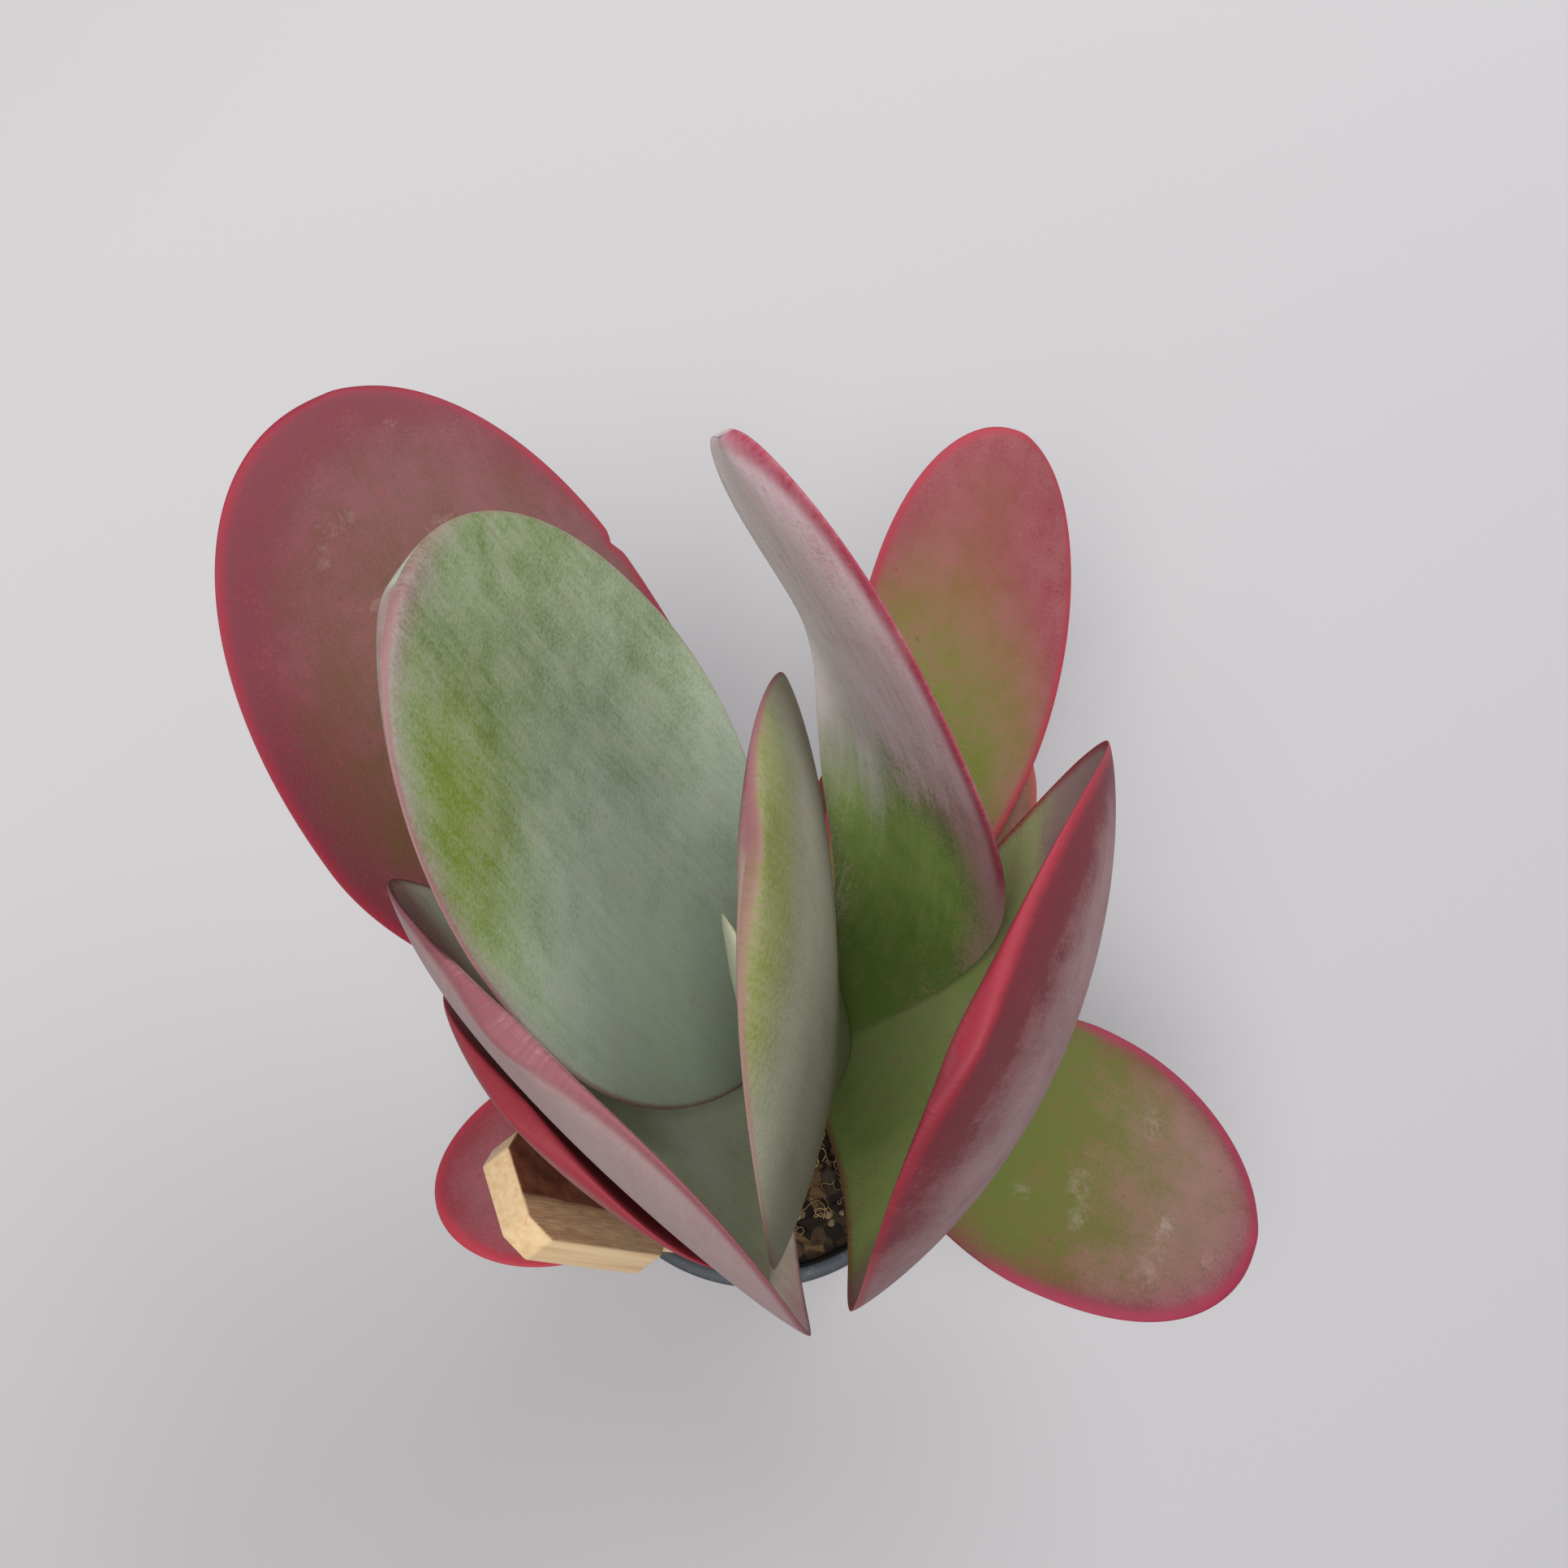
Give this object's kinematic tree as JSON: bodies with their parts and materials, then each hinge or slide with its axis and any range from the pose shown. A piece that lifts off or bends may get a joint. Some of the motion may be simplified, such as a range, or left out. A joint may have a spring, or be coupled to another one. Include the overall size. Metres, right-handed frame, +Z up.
{
  "type": "potted paddle plant",
  "caption": "Potted paddle plant: broad fleshy leaves in crossed pairs on a short stem, in a small round nursery pot of gritty soil with a wooden label.",
  "frame": {"origin": "centre of the pot's foot, on the surface it stands on", "axes": "+Z up; the pot's axis is Z; the widest red leaves of the lowest layers reach towards +Y, away from the side the plant is looked at"},
  "size_m": [0.1391, 0.1336, 0.1646],
  "materials": {
    "leaf_red": "satin",
    "leaf_green": "satin",
    "stem": "matte",
    "soil": "matte",
    "pot": "satin",
    "plant_label": "matte"
  },
  "bodies": {
    "root": {"leaf_1a": "leaf_red", "leaf_1b": "leaf_red", "leaf_2a": "leaf_green", "leaf_3a": "leaf_red", "leaf_3b": "leaf_red", "leaf_4a": "leaf_red", "leaf_4b": "leaf_red", "leaf_5a": "leaf_green", "leaf_5b": "leaf_green", "leaf_6a": "leaf_green", "leaf_6b": "leaf_green", "leaf_7a": "leaf_green", "stem": "stem", "soil": "soil", "pot": "pot", "plant_label": "plant_label"}
  },
  "joints": []
}
